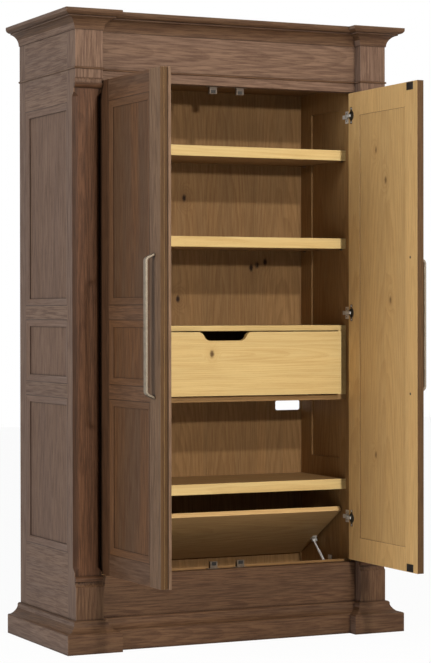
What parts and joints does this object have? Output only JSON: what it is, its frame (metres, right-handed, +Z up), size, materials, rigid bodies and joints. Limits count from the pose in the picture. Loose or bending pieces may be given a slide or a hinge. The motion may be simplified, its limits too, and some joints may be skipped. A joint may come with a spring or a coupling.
{
  "type": "bonnetiere cabinet",
  "caption": "Tall two-door oak cupboard with cornice, stepped plinth, chamfered corner posts, adjustable shelves, a drawer and a low chest under a lifting lid.",
  "frame": {"origin": "on the floor, under the middle of the front, level with the faces of the corner posts", "axes": "+X to the right seen from the front, +Y to the back, +Z up, along the cabinet's height"},
  "size_m": [1.322, 1.018, 2.2],
  "materials": {
    "stained_oak": "matt stained oak with open grain",
    "light_oak": "light knotty oak, matt lacquer",
    "handle_metal": "brushed champagne",
    "nickel": "nickel plate",
    "black_steel": "black",
    "catch_plastic": "brown plastic",
    "magnet_steel": "bare steel plates",
    "runner_steel": "zinc plate",
    "strut_black": "black",
    "strut_chrome": "polished"
  },
  "bodies": {
    "case": {"astragal": "stained_oak", "back_panel": "light_oak", "base_moulding": "stained_oak", "bottom_rail": "stained_oak", "bottom_shelf": "light_oak", "catch_housings": "catch_plastic", "ceiling_board": "light_oak", "compartment_fittings": "nickel", "compartment_floor": "light_oak", "compartment_front": "light_oak", "cornice": "stained_oak", "drawer_base_board": "light_oak", "drawer_shelf": "light_oak", "drawer_spacers": "light_oak", "frieze_board": "stained_oak", "header_rail": "stained_oak", "hinge_arms": "nickel", "left_inner_side": "light_oak", "left_post": "stained_oak", "left_side_frame": "stained_oak", "middle_shelf": "light_oak", "post_blocks": "stained_oak", "right_inner_side": "light_oak", "right_post": "stained_oak", "right_side_frame": "stained_oak", "runner_fixed": "runner_steel", "shelf_pins": "nickel", "side_mouldings": "stained_oak", "side_panels": "stained_oak", "top_board": "stained_oak", "upper_shelf": "light_oak"},
    "left_door": {"left_door_frame": "stained_oak", "left_door_panels": "stained_oak", "left_door_mouldings": "stained_oak", "left_door_lining": "light_oak", "left_door_handle": "handle_metal", "left_door_strikes": "black_steel", "left_door_cups": "nickel", "closing_strip": "light_oak"},
    "right_door": {"right_door_frame": "stained_oak", "right_door_panels": "stained_oak", "right_door_mouldings": "stained_oak", "right_door_lining": "light_oak", "right_door_handle": "handle_metal", "right_door_strikes": "black_steel", "right_door_cups": "nickel"},
    "left_links": {"left_hinge_links": "nickel"},
    "right_links": {"right_hinge_links": "nickel"},
    "drawer": {"drawer_front": "light_oak", "drawer_box": "light_oak", "runner_inner": "runner_steel"},
    "runner_middles": {"runner_middles": "runner_steel"},
    "lid": {"lid": "light_oak", "lid_fittings": "nickel"},
    "strut_cylinder": {"strut_cylinder": "strut_black"},
    "strut_rod": {"strut_rod": "strut_chrome"},
    "upper_left_magnet": {"upper_left_magnet": "magnet_steel"},
    "upper_right_magnet": {"upper_right_magnet": "magnet_steel"},
    "lower_left_magnet": {"lower_left_magnet": "magnet_steel"},
    "lower_right_magnet": {"lower_right_magnet": "magnet_steel"}
  },
  "joints": [
    {"name": "left_door_hinge", "type": "hinge", "parent": "case", "child": "left_door", "pos_m": [-0.5045, 0.042, 1.148], "axis": [0, 0, -1], "range_deg": [-89, 1]},
    {"name": "left_link_pivot", "type": "hinge", "parent": "case", "child": "left_links", "pos_m": [-0.495, 0.078, 1.148], "axis": [0, 0, -1], "range_deg": [-64.58, 1.22]},
    {"name": "right_door_hinge", "type": "hinge", "parent": "case", "child": "right_door", "pos_m": [0.5045, 0.042, 1.148], "axis": [0, 0, 1], "range_deg": [-89, 1]},
    {"name": "right_link_pivot", "type": "hinge", "parent": "case", "child": "right_links", "pos_m": [0.495, 0.078, 1.148], "axis": [0, 0, 1], "range_deg": [-64.58, 1.22]},
    {"name": "drawer_slide", "type": "slide", "parent": "case", "child": "drawer", "axis": [0, -1, 0], "range_m": [-0.03, 0.25]},
    {"name": "runner_slide", "type": "slide", "parent": "case", "child": "runner_middles", "axis": [0, -1, 0], "range_m": [-0.0155, 0.1255]},
    {"name": "lid_hinge", "type": "hinge", "parent": "case", "child": "lid", "pos_m": [0, 0.4621, 0.2635], "axis": [-1, 0, 0], "range_deg": [-30.5, 0], "stiffness_Nm_per_rad": 6.5, "springref_deg": 114.59},
    {"name": "strut_pivot", "type": "hinge", "parent": "case", "child": "strut_cylinder", "pos_m": [0.484, 0.233, 0.228], "axis": [1, 0, 0], "range_deg": [-38.73, 0.3]},
    {"name": "strut_slide", "type": "slide", "parent": "strut_cylinder", "child": "strut_rod", "axis": [0, 0.7658, 0.643], "range_m": [-0.03125, 0.0005]},
    {"name": "upper_left_magnet_float", "type": "slide", "parent": "case", "child": "upper_left_magnet", "axis": [0, -1, 0], "range_m": [0, 0.0012]},
    {"name": "upper_right_magnet_float", "type": "slide", "parent": "case", "child": "upper_right_magnet", "axis": [0, -1, 0], "range_m": [0, 0.0012]},
    {"name": "lower_left_magnet_float", "type": "slide", "parent": "case", "child": "lower_left_magnet", "axis": [0, -1, 0], "range_m": [0, 0.0012]},
    {"name": "lower_right_magnet_float", "type": "slide", "parent": "case", "child": "lower_right_magnet", "axis": [0, -1, 0], "range_m": [0, 0.0012]}
  ],
  "couplings": [
    {"joint": "left_link_pivot", "follows": "left_door_hinge", "ratio": 0.72},
    {"joint": "right_link_pivot", "follows": "right_door_hinge", "ratio": 0.72},
    {"joint": "runner_slide", "follows": "drawer_slide", "ratio": 0.5},
    {"joint": "strut_pivot", "follows": "lid_hinge", "ratio": 1.2599},
    {"joint": "strut_slide", "follows": "lid_hinge", "m_per_rad": 0.057757}
  ]
}
